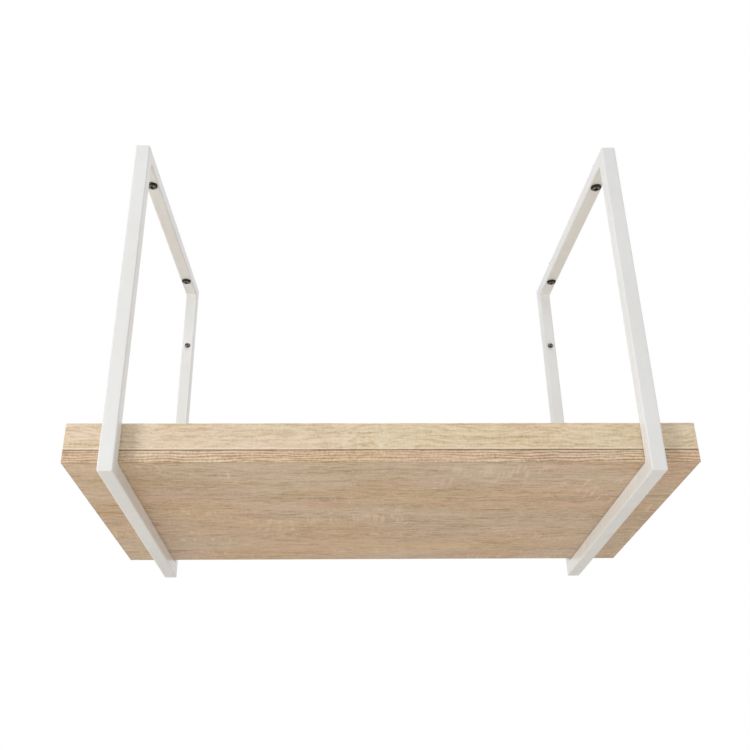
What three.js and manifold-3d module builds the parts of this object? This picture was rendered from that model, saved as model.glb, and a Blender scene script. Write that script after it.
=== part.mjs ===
// A wall-mounted cat perch: two stacked oak-decor boards on two closed frames of square steel tube.
//
// Millimetres, +Z up. The wall is the plane y = 0 and the perch reaches out from it along -Y.
// The origin is on the wall, midway between the two frames and level with the top of the shelf.
// Left and right are those of someone who stands in the room and faces the wall: left is -X.

import * as THREE from "three";
import { mergeVertices } from "three/addons/utils/BufferGeometryUtils.js";
import Module from "manifold-3d";

const wasm = await Module();
wasm.setup();

// ---------------------------------------------------------------- driving dimensions

// The shelf: an upper and a lower board, glued face to face
const shelfWidth = 600; // along X
const shelfDepth = 300; // along Y
const upperThickness = 28;
const lowerThickness = 13;
const bandThickness = 1; // edge banding, the same on all four edges

// The frames: four mitred tubes each, welded at the corners
const tubeSide = 15;
const tubeWall = 1.5;
const tubeCornerRadius = 1.5; // outside corner of the tube's section
const leastBoreRadius = 0.2; // its inside corner is never sharper than this
const frameInset = 46; // from each end of the shelf to the mid-plane of the frame there
const frontLegHeight = 385; // from under the bottom rail to the front leg's top
const rearLegHeight = 430; // the top rail climbs towards the wall
const rearGap = 10; // from the shelf's rear edge to the rear legs
const frontGap = 0.5; // from the shelf's front edge to the inside of the welds in the front corners
const weldWidth = 1; // weld seam in each mitre

// Screws that hold the frames, measured on the outside of the tube from its outer corners
const frontScrewInset = 53; // in the top rail, from the front corner
const rearScrewInset = 61; // in the top rail, from the rear corner
const wallScrewInset = 101;
const ceilingScrew = {
  shank: 6,
  length: 30, // below the head
  tip: 7, // the tapered end of it
  head: 12,
  headHeight: 3.9,
  rim: 1.2, // the head's straight edge, below its dome
  slot: 6.8, // the cross recess, from end to end
  slotWidth: 1.6,
  slotDepth: 2.3,
};
const wallScrew = {
  shank: 4,
  length: 30,
  tip: 5,
  head: 7,
  headHeight: 2.8,
  rim: 1,
  slot: 4,
  slotWidth: 1,
  slotDepth: 1.6,
};

// Screws that hold the shelf down on the bottom rails
const shelfScrewInset = 50; // from the shelf's front and rear edges
const shelfScrew = {
  shank: 5,
  length: 50, // from the head's top
  tip: 1, // the chamfer at the end
  head: 10,
  slot: 5,
  slotWidth: 1.2,
  slotDepth: 2,
};
const headSink = 0.2; // how far a countersunk head lies below the shelf's top

// Rivet nuts in the bottom rails' upper walls
const nutFlange = 9;
const nutFlangeThickness = 0.7;
const nutBody = 7;
const nutCollar = 9.2; // the collar that the tool folds up under the tube's wall
const nutCollarHeight = 1.6;
const nutCollarSlope = 0.5; // the sloping foot of that height
const nutLength = 10;

// Dowels between the boards
const dowelDiameter = 8;
const dowelLength = 30;
const dowelDepthLower = 10; // how far a dowel reaches down into the lower board
const dowelChamfer = 1;
const dowelSpacingX = 200;
const dowelSpacingY = 200;
const dowelColumns = 3;
const dowelRows = 2;

// Clearances
const fitGap = 0.1; // round a dowel, nut or screw in its hole, and under a screw's head
const dowelEndGap = 0.8; // glue space past each end of a dowel
const screwHoleGap = 0.25; // round a screw's shank where it passes freely

// Facets and cutters
const roundSegments = 24;
const domeSegments = 5;
const cornerSegments = 4;
const cutterMargin = 1; // how far a cutter runs on past the face that it opens

// ---------------------------------------------------------------- places worked out from them

const upperBoardZ = -upperThickness; // where the two boards meet
const shelfUnderside = -(upperThickness + lowerThickness);
const railUnderside = shelfUnderside - tubeSide;
const shelfRear = -(tubeSide + rearGap);
const shelfFront = shelfRear - shelfDepth;
const frameFront = shelfFront - frontGap - weldWidth / 2 - tubeSide;
const frameSpacing = shelfWidth - 2 * frameInset; // between the mid-planes of the two frames
const shelfMiddle = (shelfFront + shelfRear) / 2;

// ---------------------------------------------------------------- materials

const finish = (color, roughness, metalness) =>
  new THREE.MeshStandardMaterial({ color, roughness, metalness });
const oakDecor = () => finish("#cdb28c", 0.55, 0);
const oakBand = () => finish("#d3bb95", 0.5, 0);
const whitePowder = () => finish("#efeeeb", 0.45, 0);
const blackSteel = () => finish("#2c2b2a", 0.35, 0.8);
const zincSteel = () => finish("#b7babd", 0.35, 0.9);
const beech = () => finish("#d9bd92", 0.7, 0);

// ---------------------------------------------------------------- solids: cutting and joining

// A closed geometry as a manifold-3d solid: only its positions count, shared vertices are merged, and
// triangles that the merging collapsed, such as those at a lathe's poles, are dropped.
function solidOf(geometry) {
  const bare = geometry.clone();
  bare.deleteAttribute("normal");
  bare.deleteAttribute("uv");
  const merged = mergeVertices(bare, 1e-4);
  const corners = merged.index.array;
  const kept = [];
  for (let i = 0; i < corners.length; i += 3) {
    const [a, b, c] = corners.slice(i, i + 3);
    if (a !== b && b !== c && c !== a) kept.push(a, b, c);
  }
  return new wasm.Manifold(
    new wasm.Mesh({
      numProp: 3,
      vertProperties: merged.attributes.position.array,
      triVerts: new Uint32Array(kept),
    }),
  );
}

function geometryOf(solid) {
  const { vertProperties, triVerts } = solid.getMesh();
  const geometry = new THREE.BufferGeometry();
  geometry.setAttribute("position", new THREE.BufferAttribute(new Float32Array(vertProperties), 3));
  geometry.setIndex(new THREE.BufferAttribute(new Uint32Array(triVerts), 1));
  geometry.computeVertexNormals();
  return geometry;
}

// The body with every tool cut out of it.
function cut(body, tools) {
  return geometryOf(tools.reduce((rest, tool) => rest.subtract(solidOf(tool)), solidOf(body)));
}

// ---------------------------------------------------------------- shapes

// A box between two heights, given by its middle and size in X and Y.
function slab(middleX, middleY, sizeX, sizeY, bottom, top) {
  const box = new THREE.BoxGeometry(sizeX, sizeY, top - bottom);
  return box.translate(middleX, middleY, (bottom + top) / 2);
}

// A profile of [radius, height] points turned about the Z axis, from its lowest point to its highest.
function turned(profile) {
  const points = profile.map(([radius, height]) => new THREE.Vector2(radius, height));
  return new THREE.LatheGeometry(points, roundSegments).rotateX(Math.PI / 2);
}

// A round cutter along Z.
function drill(diameter, bottom, top) {
  const radius = diameter / 2;
  return turned([
    [0, bottom],
    [radius, bottom],
    [radius, top],
    [0, top],
  ]);
}

// A cross recess, cut down into a screw's head from the height top.
function crossRecess(screw, top) {
  const bottom = top - screw.slotDepth;
  const past = top + cutterMargin;
  return [
    slab(0, 0, screw.slot, screw.slotWidth, bottom, past),
    slab(0, 0, screw.slotWidth, screw.slot, bottom, past),
  ];
}

// A pan-head screw along Z: the head's flat underside lies at z = 0, its dome above and the shank below.
function panHeadScrew(screw) {
  const radius = screw.shank / 2;
  const headRadius = screw.head / 2;
  const dome = screw.headHeight - screw.rim;
  const profile = [
    [0, -screw.length],
    [radius, -screw.length + screw.tip],
    [radius, 0],
    [headRadius, 0],
  ];
  for (let i = 0; i <= domeSegments; i++) {
    const angle = ((Math.PI / 2) * i) / domeSegments;
    profile.push([headRadius * Math.cos(angle), screw.rim + dome * Math.sin(angle)]);
  }
  return cut(turned(profile), crossRecess(screw, screw.headHeight));
}

// A countersunk screw along Z: the head's flat top lies at z = 0 and everything else below.
function countersunkScrew(screw) {
  const radius = screw.shank / 2;
  const headRadius = screw.head / 2;
  const profile = [
    [0, -screw.length],
    [radius - screw.tip, -screw.length],
    [radius, -screw.length + screw.tip],
    [radius, -(headRadius - radius)],
    [headRadius, 0],
    [0, 0],
  ];
  return cut(turned(profile), crossRecess(screw, 0));
}

// The hole for a countersunk screw whose head's top lies at z = 0, open upwards.
function countersink(screw, bottom) {
  const hole = screw.shank / 2 + screwHoleGap;
  const mouth = screw.head / 2 + screwHoleGap;
  return turned([
    [0, bottom],
    [hole, bottom],
    [hole, -(mouth - hole)],
    [mouth, 0],
    [mouth, headSink + cutterMargin],
    [0, headSink + cutterMargin],
  ]);
}

// A rivet nut along Z: its flange's top lies at z = 0, flush with the outside of the tube's wall.
function rivetNut() {
  const bore = shelfScrew.shank / 2 + fitGap;
  const body = nutBody / 2;
  const collarTop = -(tubeWall + fitGap);
  const collarBottom = collarTop - nutCollarHeight;
  return turned([
    [bore, -nutLength],
    [body, -nutLength],
    [body, collarBottom],
    [nutCollar / 2, collarBottom + nutCollarSlope],
    [nutCollar / 2, collarTop],
    [body, collarTop],
    [body, -nutFlangeThickness],
    [nutFlange / 2, -nutFlangeThickness],
    [nutFlange / 2, 0],
    [bore, 0],
    [bore, -nutLength],
  ]);
}

// The stepped hole in the tube's wall that takes a rivet nut, from the same sizes and the clearance.
function nutHole() {
  const body = nutBody / 2 + fitGap;
  const flange = nutFlange / 2 + fitGap;
  const step = -(nutFlangeThickness + fitGap);
  return turned([
    [0, -(tubeWall + cutterMargin)],
    [body, -(tubeWall + cutterMargin)],
    [body, step],
    [flange, step],
    [flange, cutterMargin],
    [0, cutterMargin],
  ]);
}

function dowel() {
  const radius = dowelDiameter / 2;
  return turned([
    [0, 0],
    [radius - dowelChamfer, 0],
    [radius, dowelChamfer],
    [radius, dowelLength - dowelChamfer],
    [radius - dowelChamfer, dowelLength],
    [0, dowelLength],
  ]);
}

// ---------------------------------------------------------------- a frame's outline

// The frame's outer corners in the plane of Y and Z, in order round the frame.
const outerCorners = {
  front_low: new THREE.Vector2(frameFront, railUnderside),
  rear_low: new THREE.Vector2(0, railUnderside),
  rear_top: new THREE.Vector2(0, railUnderside + rearLegHeight),
  front_top: new THREE.Vector2(frameFront, railUnderside + frontLegHeight),
};
const cornerNames = Object.keys(outerCorners);
const cornerCount = cornerNames.length;

// The four tubes, each from one corner to the next.
const tubeNames = ["bottom_rail", "rear_leg", "top_rail", "front_leg"];

// A tube's line along its outer face: where it starts, its direction and the normal into the frame.
function tubeLine(index) {
  const start = outerCorners[cornerNames[index % cornerCount]];
  const end = outerCorners[cornerNames[(index + 1) % cornerCount]];
  const along = end.clone().sub(start).normalize();
  const inward = new THREE.Vector2(-along.y, along.x);
  return { start, end, along, inward };
}

// A corner's mitre: the two tubes that meet there, and the step from its outer to its inner corner.
function mitre(index) {
  const before = tubeLine(index + cornerCount - 1);
  const after = tubeLine(index);
  const step = before.inward.clone().add(after.inward);
  step.multiplyScalar(tubeSide / (1 + before.inward.dot(after.inward)));
  return { corner: after.start, step, before: before.along, after: after.along };
}

// The tube's section, a square with round corners, drawn in by inset: [across, inward] points, where across
// runs along X from the tube's middle and inward runs from the frame's outer face to its inner one.
function sectionLoop(inset) {
  const half = tubeSide / 2 - inset;
  const radius = Math.max(tubeCornerRadius - inset, leastBoreRadius);
  const loop = [];
  for (let quarter = 0; quarter < 4; quarter++) {
    const middle = (Math.PI / 2) * quarter + Math.PI / 4;
    const centreX = (half - radius) * Math.sign(Math.cos(middle));
    const centreY = (half - radius) * Math.sign(Math.sin(middle));
    for (let i = 0; i <= cornerSegments; i++) {
      const angle = (Math.PI / 2) * (quarter + i / cornerSegments);
      loop.push([centreX + radius * Math.cos(angle), tubeSide / 2 + centreY + radius * Math.sin(angle)]);
    }
  }
  return loop;
}

// The section laid in a corner's mitre plane and moved by shift along direction.
function mitreLoop(corner, direction, shift, inset) {
  return sectionLoop(inset).map(([across, inward]) => [
    across,
    corner.corner.x + (corner.step.x * inward) / tubeSide + direction.x * shift,
    corner.corner.y + (corner.step.y * inward) / tubeSide + direction.y * shift,
  ]);
}

// A hollow length between two mitre planes: outer skin, far end, bore and near end.
function hollowLength(outerStart, outerEnd, innerEnd, innerStart) {
  const loops = [outerStart, outerEnd, innerEnd, innerStart];
  const count = outerStart.length;
  const triangles = [];
  loops.forEach((loop, ring) => {
    const next = (ring + 1) % loops.length;
    loop.forEach((_, point) => {
      const a = ring * count + point;
      const b = ring * count + ((point + 1) % count);
      const c = next * count + point;
      const d = next * count + ((point + 1) % count);
      triangles.push(a, d, b, a, c, d);
    });
  });
  const geometry = new THREE.BufferGeometry();
  geometry.setAttribute("position", new THREE.Float32BufferAttribute(loops.flat(2), 3));
  geometry.setIndex(triangles);
  return geometry;
}

// A tube from one mitre to the next, cut back at both ends by half a weld.
function frameTube(index) {
  const near = mitre(index);
  const far = mitre(index + 1);
  const back = weldWidth / 2;
  return hollowLength(
    mitreLoop(near, near.after, back, 0),
    mitreLoop(far, far.before, -back, 0),
    mitreLoop(far, far.before, -back, tubeWall),
    mitreLoop(near, near.after, back, tubeWall),
  );
}

// The weld that fills a mitre, from the end of one tube to the start of the next.
function weldSeam(index) {
  const corner = mitre(index);
  const back = weldWidth / 2;
  return hollowLength(
    mitreLoop(corner, corner.before, -back, 0),
    mitreLoop(corner, corner.after, back, 0),
    mitreLoop(corner, corner.after, back, tubeWall),
    mitreLoop(corner, corner.before, -back, tubeWall),
  );
}

// The matrix that lays a screw along Z through a frame's tube, its head's underside on the inner face.
function screwSeat(index, distance) {
  const { start, along, inward } = tubeLine(index);
  const place = start.clone().addScaledVector(along, distance);
  place.addScaledVector(inward, tubeSide + fitGap);
  const matrix = new THREE.Matrix4().makeBasis(
    new THREE.Vector3(1, 0, 0),
    new THREE.Vector3(0, inward.y, -inward.x),
    new THREE.Vector3(0, inward.x, inward.y),
  );
  return matrix.setPosition(0, place.x, place.y);
}

// ---------------------------------------------------------------- the pieces

function piece(name, geometry, material) {
  const mesh = new THREE.Mesh(geometry, material);
  mesh.name = name;
  return mesh;
}

// One board: its core between four bands. Front and rear bands run the full width.
function board(name, bottom, top, cutters) {
  const group = new THREE.Group();
  const coreWidth = shelfWidth - 2 * bandThickness;
  const coreDepth = shelfDepth - 2 * bandThickness;
  const core = slab(0, shelfMiddle, coreWidth, coreDepth, bottom, top);
  group.add(piece(`${name}_board`, cut(core, cutters), oakDecor()));
  const edges = [
    ["front", shelfFront + bandThickness / 2],
    ["rear", shelfRear - bandThickness / 2],
  ];
  for (const [edge, y] of edges) {
    const band = slab(0, y, shelfWidth, bandThickness, bottom, top);
    group.add(piece(`${name}_band_${edge}`, band, oakBand()));
  }
  const ends = [
    ["left", -1],
    ["right", 1],
  ];
  for (const [end, side] of ends) {
    const x = (side * (shelfWidth - bandThickness)) / 2;
    const band = slab(x, shelfMiddle, bandThickness, coreDepth, bottom, top);
    group.add(piece(`${name}_band_${end}`, band, oakBand()));
  }
  return group;
}

// Where the dowels stand: a grid about the shelf's middle.
function dowelPlaces() {
  const places = [];
  for (let row = 0; row < dowelRows; row++) {
    for (let column = 0; column < dowelColumns; column++) {
      const x = (column - (dowelColumns - 1) / 2) * dowelSpacingX;
      const y = shelfMiddle + (row - (dowelRows - 1) / 2) * dowelSpacingY;
      places.push([x, y]);
    }
  }
  return places;
}

const frameSides = [
  ["left", -frameSpacing / 2],
  ["right", frameSpacing / 2],
];
const shelfScrewRows = [
  ["front", shelfFront + shelfScrewInset],
  ["rear", shelfRear - shelfScrewInset],
];

// The boards, with the holes that the dowels and the shelf screws need.
function shelf() {
  const group = new THREE.Group();
  const dowelFoot = upperBoardZ - dowelDepthLower;
  const dowelHead = dowelFoot + dowelLength;
  const cutters = dowelPlaces().map(([x, y]) =>
    drill(dowelDiameter + 2 * fitGap, dowelFoot - dowelEndGap, dowelHead + dowelEndGap).translate(x, y, 0),
  );
  for (const [, x] of frameSides) {
    for (const [, y] of shelfScrewRows) {
      const hole = countersink(shelfScrew, shelfUnderside - cutterMargin);
      cutters.push(hole.translate(x, y, -headSink));
    }
  }
  group.add(board("upper", upperBoardZ, 0, cutters));
  group.add(board("lower", shelfUnderside, upperBoardZ, cutters));
  dowelPlaces().forEach(([x, y], i) => {
    group.add(piece(`board_dowel_${i + 1}`, dowel().translate(x, y, dowelFoot), beech()));
  });
  return group;
}

// One frame: tubes, welds, the screws that hold it and the nuts that hold the shelf.
function frame(side) {
  const group = new THREE.Group();
  const screwSets = {
    top_rail: {
      screw: ceilingScrew,
      insets: [rearScrewInset, frontScrewInset],
      names: ["ceiling_screw_rear", "ceiling_screw_front"],
    },
    rear_leg: {
      screw: wallScrew,
      insets: [wallScrewInset, wallScrewInset],
      names: ["wall_screw_lower", "wall_screw_upper"],
    },
  };
  tubeNames.forEach((tubeName, index) => {
    const { start, end } = tubeLine(index);
    const cutters = [];
    const set = screwSets[tubeName];
    if (set) {
      const { screw, insets, names } = set;
      const holeBottom = -(tubeSide + fitGap + cutterMargin);
      const distances = [insets[0], start.distanceTo(end) - insets[1]];
      distances.forEach((distance, i) => {
        const seat = screwSeat(index, distance);
        const hole = drill(screw.shank + 2 * screwHoleGap, holeBottom, cutterMargin);
        cutters.push(hole.applyMatrix4(seat));
        const mesh = piece(`${side}_${names[i]}`, panHeadScrew(screw), blackSteel());
        mesh.applyMatrix4(seat);
        group.add(mesh);
      });
    }
    if (tubeName === "bottom_rail") {
      for (const [, y] of shelfScrewRows) {
        cutters.push(nutHole().translate(0, y, shelfUnderside));
      }
    }
    group.add(piece(`${side}_${tubeName}`, cut(frameTube(index), cutters), whitePowder()));
    group.add(piece(`${side}_weld_${cornerNames[index]}`, weldSeam(index), whitePowder()));
  });
  for (const [row, y] of shelfScrewRows) {
    const screw = piece(`${side}_shelf_screw_${row}`, countersunkScrew(shelfScrew), zincSteel());
    screw.position.set(0, y, -headSink);
    const nut = piece(`${side}_rivet_nut_${row}`, rivetNut(), zincSteel());
    nut.position.set(0, y, shelfUnderside);
    group.add(screw, nut);
  }
  return group;
}

// ---------------------------------------------------------------- the whole perch

const perch = new THREE.Group();
perch.add(shelf());
for (const [side, x] of frameSides) {
  const half = frame(side);
  half.position.x = x;
  perch.add(half);
}

export default perch;
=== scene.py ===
# %% [markdown]
# # A cat perch on two steel frames
#
# The object is a wide shelf that hangs beside a wall, carried by two closed frames of square steel tube.
# The shelf is two boards in a pale oak decor, one glued under the other, and the frames are white. The
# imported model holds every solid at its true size. This lesson adds what the eye looks for: soft edges, weld
# beads, threads, wood grain, a powder coat, and light to see them by.
#
# Lengths are written in millimetres and multiplied by `mm` where they go into Blender, which counts metres.
# The wall is the plane y = 0, the shelf's top is z = 0 and the perch reaches out along -Y.

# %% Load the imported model
import math

import bpy
import numpy as np
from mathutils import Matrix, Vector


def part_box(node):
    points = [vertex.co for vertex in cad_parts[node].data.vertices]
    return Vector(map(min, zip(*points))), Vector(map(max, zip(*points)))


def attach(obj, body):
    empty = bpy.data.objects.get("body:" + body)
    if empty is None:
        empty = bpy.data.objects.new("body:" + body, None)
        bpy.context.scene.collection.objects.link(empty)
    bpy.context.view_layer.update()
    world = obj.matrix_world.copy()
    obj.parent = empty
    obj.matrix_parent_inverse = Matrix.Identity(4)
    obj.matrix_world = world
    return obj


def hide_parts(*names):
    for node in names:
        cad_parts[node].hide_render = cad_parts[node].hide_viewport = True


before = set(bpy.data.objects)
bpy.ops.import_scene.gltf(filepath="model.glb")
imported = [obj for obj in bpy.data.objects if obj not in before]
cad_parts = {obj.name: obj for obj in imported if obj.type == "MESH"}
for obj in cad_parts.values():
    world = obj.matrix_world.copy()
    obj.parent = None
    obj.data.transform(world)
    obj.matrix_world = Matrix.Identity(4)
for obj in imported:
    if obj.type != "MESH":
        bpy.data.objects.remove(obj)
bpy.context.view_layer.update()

mm = 0.001

# %% [markdown]
# ## The camera
#
# The picture is taken from the front and from below, so the shelf's underside shows. A camera could be
# placed by eye, but such a match drifts as soon as a piece changes. Here the lens, the place and the turn
# were solved from corners of the boards and tubes, whose true places are known. The two shifts slide the
# picture on the film instead of turning the camera, as a cropped photo does.

# %% Make the camera
camera_data = bpy.data.cameras.new("camera")
camera_data.sensor_width = 36.0
camera_data.lens = 42.66
camera_data.shift_x = 0.0195
camera_data.shift_y = 0.0969
camera = bpy.data.objects.new("camera", camera_data)
camera.location = (-0.0373, -1.0861, -0.3746)
camera.rotation_euler = [math.radians(angle) for angle in (114.606, 0.553, -0.973)]
bpy.context.scene.collection.objects.link(camera)
bpy.context.scene.camera = camera
print("a lens of", round(camera_data.lens, 2), "mm at", np.round(camera.location, 3).tolist())

# %% [markdown]
# ## The sizes that the new pieces share
#
# A piece that replaces a solid has to lie exactly where the solid lies, so these sizes are the model's.
# Most could be measured from its boxes, but not a tube's wall or a corner's radius, so all are written once
# here, and the last cell compares the result with the boxes.

# %% Sizes in millimetres
shelf_width = 600.0
shelf_depth = 300.0
shelf_rear = -25.0
shelf_front = shelf_rear - shelf_depth
board_heights = {"upper": (-28.0, 0.0), "lower": (-41.0, -28.0)}
band_thickness = 1.0

tube_side = 15.0
tube_wall = 1.5
tube_corner = 1.5
weld_width = 1.0
frame_places = {"left": -254.0, "right": 254.0}
corner_names = ["front_low", "rear_low", "rear_top", "front_top"]
outer_corners = np.array([[-341.0, -56.0], [0.0, -56.0], [0.0, 374.0], [-341.0, 329.0]])
tube_names = ["bottom_rail", "rear_leg", "top_rail", "front_leg"]
print("the frames are", abs(outer_corners[0, 0]), "mm deep and", np.ptp(outer_corners[:, 1]), "mm high")

# %% [markdown]
# ## From arrays to meshes
#
# Every new piece is a surface worked out with numpy. Most are a grid: rows along the piece, with as many
# points in each. A grid becomes a mesh once its quads are listed, and that list only depends on how many
# rows and columns there are, and on whether the last meets the first again.
#
# The sign of a closed mesh's volume tells whether its faces point outwards.

# %% Helpers that make a piece
def grid_faces(rows, columns, close_rows=False, close_columns=True):
    """Quads between rows: corner (i, j) is point i * columns + j, and a closed side wraps round."""
    i = np.arange(rows if close_rows else rows - 1)[:, None]
    j = np.arange(columns if close_columns else columns - 1)[None, :]
    next_i, next_j = (i + 1) % rows, (j + 1) % columns
    corners = (i * columns + j, i * columns + next_j, next_i * columns + next_j, next_i * columns + j)
    return np.stack(np.broadcast_arrays(*corners), axis=-1).reshape(-1, 4)


def polar(radius, angle, *height):
    """Points at a radius and an angle round the origin, and at a height if one is given."""
    return np.stack(np.broadcast_arrays(radius * np.cos(angle), radius * np.sin(angle), *height), -1)


def capped_grid(rows, columns):
    """The quads of a grid closed round its columns, and a face over its first and its last row."""
    ends = [list(range(columns))[::-1], list(range((rows - 1) * columns, rows * columns))]
    return grid_faces(rows, columns).tolist() + ends


def signed_volume(mesh):
    """A sixth of the sum of a . (b x c) over the triangles, in m3: below zero if they face inwards."""
    mesh.calc_loop_triangles()
    corners = np.empty(len(mesh.loop_triangles) * 3, np.int32)
    mesh.loop_triangles.foreach_get("vertices", corners)
    places = np.empty(len(mesh.vertices) * 3, np.float32)
    mesh.vertices.foreach_get("co", places)
    a, b, c = places.reshape(-1, 3).astype(float)[corners.reshape(-1, 3)].transpose(1, 0, 2)
    return float(np.einsum("ij,ij->", a, np.cross(b, c))) / 6


usual_crease = 35.0
pieces = {}


def add_piece(name, points, faces, nodes, crease=usual_crease, wear=None):
    """A smooth closed piece, with edges sharper than crease degrees kept crisp, that stands for the nodes.

    A painted highlight, from 0 to 1 at every point, if given, is stored in the mesh for its material to read.
    """
    mesh = bpy.data.meshes.new(name)
    mesh.from_pydata((np.asarray(points).reshape(-1, 3) * mm).tolist(), [], [list(face) for face in faces])
    if signed_volume(mesh) < 0:
        mesh.flip_normals()
    if wear is not None:
        mesh.attributes.new("wear", "FLOAT", "POINT").data.foreach_set("value", np.asarray(wear, np.float32))
    piece = bpy.data.objects.new(name, mesh)
    bpy.context.scene.collection.objects.link(piece)
    soften(piece, crease)
    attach(piece, "root")
    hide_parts(*nodes)
    pieces[nodes[0]] = piece
    return piece


def soften(piece, crease):
    """Shades a piece smooth, apart from edges that turn by more than crease degrees."""
    piece.data.shade_smooth()
    piece.data.set_sharp_from_angle(angle=math.radians(crease))


def settle(piece):
    """Puts what the piece's modifiers make of it into its own mesh."""
    bpy.context.view_layer.update()
    shaped = piece.evaluated_get(bpy.context.evaluated_depsgraph_get())
    piece.data = bpy.data.meshes.new_from_object(shaped)
    piece.modifiers.clear()


def flatten_shading(piece):
    """Leans the normals at a flat face's corners towards that face, since large faces weigh more."""
    lean = piece.modifiers.new("lean", "WEIGHTED_NORMAL")
    lean.weight = 100
    lean.keep_sharp = True
    settle(piece)


print("a grid of 3 rows and 4 columns has", len(grid_faces(3, 4)), "quads")

# %% [markdown]
# ## The tube's section
#
# Square steel tube is rolled from a strip, so its corners are round. A smooth-shaded flat face next to a
# small round looks swollen unless points near its ends hold it flat, so each side starts and ends with a
# short step. The same section is drawn a wall's thickness smaller for the bore.

# %% Draw the section
def square_section(inset, corner_steps=8, side_fractions=(0.05, 0.95)):
    """Points round a square with round corners, in two columns: across (X) and inward from the outer edge.

    Each corner is a quarter circle of radius r about a centre r inside both sides. Each side runs straight
    from one quarter's end to the next one's start, with points at the given fractions of its length.
    """
    half = tube_side / 2 - inset
    radius = max(tube_corner - inset, 0.2)
    turn = np.linspace(0, np.pi / 2, corner_steps + 1)
    quarter = np.arange(4)[:, None] * np.pi / 2
    centres = (half - radius) * np.sign(polar(1, quarter + np.pi / 4))
    arcs = centres + polar(radius, quarter + turn)
    fractions = np.asarray(side_fractions)[:, None]
    starts, ends = arcs[:, -1][:, None], np.roll(arcs[:, 0], -1, axis=0)[:, None]
    sides = starts * (1 - fractions) + ends * fractions
    loop = np.concatenate([arcs, sides], axis=1).reshape(-1, 2)
    return loop + [0, tube_side / 2]


print(len(square_section(0)), "points round the tube")

# %% [markdown]
# ## Mitred corners
#
# Two tubes meet in a plane that halves the angle between them. A tube could be made too long and cut by
# that plane, but it is simpler to lay the section straight into the plane: a point at a given inward
# distance lies on the line from the frame's outer corner to its inner one. Sliding it along the tube then
# makes room for the weld.

# %% Find the corners' mitres
def tube_line(index):
    """The tube's outer edge in the plane of Y and Z: its start, direction, inward normal and length."""
    start, end = outer_corners[index % 4], outer_corners[(index + 1) % 4]
    length = np.linalg.norm(end - start)
    along = (end - start) / length
    return start, along, np.array([-along[1], along[0]]), length


def mitre(index):
    """A corner, the step to the inner corner, and the directions of the tubes before and after it.

    The step is the sum of both inward normals n and m times the tube's side, over 1 + n . m.
    """
    _, before, before_inward, _ = tube_line(index + 3)
    corner, after, after_inward, _ = tube_line(index)
    step = (before_inward + after_inward) * tube_side / (1 + before_inward @ after_inward)
    return corner, step, before, after


def in_mitre(index, section, x):
    """The section's points laid in the mitre plane of a corner, in the frame whose middle is at x."""
    corner, step, _, _ = mitre(index)
    across, inward = section[:, :1], section[:, 1:]
    return np.hstack([x + across, corner + step * inward / tube_side])


def slide(points, direction, distance):
    """The points moved along a direction of the plane of Y and Z, each by its own or the same distance."""
    return points + np.asarray(distance).reshape(-1, 1) * np.array([0.0, *direction])


print("inner corners:", [np.round(mitre(i)[0] + mitre(i)[1], 1).tolist() for i in range(4)])

# %% [markdown]
# ## Screw places
#
# Two screws hold each top rail from below and two hold each rear leg, one near each end. The heads sit on
# the inside of the frame and the shanks go out through both walls of the tube, so holes are cut as well. A
# screw is drawn upright at the origin and then laid in place by its own three axes. The plain lengths are
# those of its smooth shank, under the head.

# %% Sizes and seats of the screws
ceiling_screw = dict(shank=6.0, length=30.0, tip=7.0, head=12.0, height=3.9, rim=1.2, slot=6.8, width=1.6,
                     depth=2.3, pitch=2.6)
wall_screw = dict(shank=4.0, length=30.0, tip=5.0, head=7.0, height=2.8, rim=1.0, slot=4.0, width=1.0,
                  depth=1.6, pitch=1.8)
shelf_screw = dict(shank=5.0, length=50.0, tip=1.0, head=10.0, slot=5.0, width=1.2, depth=2.0, pitch=0.8)
rear_inset, front_inset, wall_inset, shelf_inset = 61.0, 53.0, 101.0, 50.0
fit_gap, hole_gap, head_sink = 0.1, 0.25, 0.2
frame_plain, shelf_plain = tube_side + 3, 36.0
frame_screws = {
    "top_rail": (ceiling_screw, {"ceiling_screw_rear": rear_inset, "ceiling_screw_front": -front_inset}),
    "rear_leg": (wall_screw, {"wall_screw_lower": wall_inset, "wall_screw_upper": -wall_inset}),
}
shelf_screw_rows = {"front": shelf_front + shelf_inset, "rear": shelf_rear - shelf_inset}


def seat(index, inset, x):
    """Where a screw stands on a tube's inner face: its foot and its three axes, the last pointing inward.

    The inset is measured from the tube's start, or from its end if it is negative.
    """
    start, along, inward, length = tube_line(index)
    foot = start + along * (inset % length) + inward * (tube_side + fit_gap)
    axes = np.array([[1, 0, 0], [0, inward[1], -inward[0]], [0, inward[0], inward[1]]])
    return np.array([x, *foot]), axes


print("ceiling screws stand at", np.round(seat(2, rear_inset, frame_places["left"])[0], 1).tolist())

# %% [markdown]
# ## The tubes
#
# A hollow tube is one closed surface: the outer skin, the far end, the bore and the near end are loops of
# the same number of points, and the last meets the first again. The screw holes are cut with a Boolean
# modifier. They could be left out, since screws fill them, but the tubes then look wrong from behind. A
# hole in a face as long as the tube would leave a polygon that splits badly into triangles, so a loop
# stands close to each side of it. The volume that the cut takes away shows whether it worked.

# %% Make the tubes
def drill_bit(name, foot, axes, radius, low, high, sides=32):
    """A round cutter along a seat's last axis, from low to high."""
    angle = np.linspace(0, 2 * np.pi, sides, endpoint=False)
    ends = [polar(radius, angle, height) for height in (low, high)]
    points = foot + np.concatenate(ends) @ axes
    mesh = bpy.data.meshes.new(name)
    mesh.from_pydata((points * mm).tolist(), [], capped_grid(2, sides))
    if signed_volume(mesh) < 0:
        mesh.flip_normals()
    bit = bpy.data.objects.new(name, mesh)
    bpy.context.scene.collection.objects.link(bit)
    return bit


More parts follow.
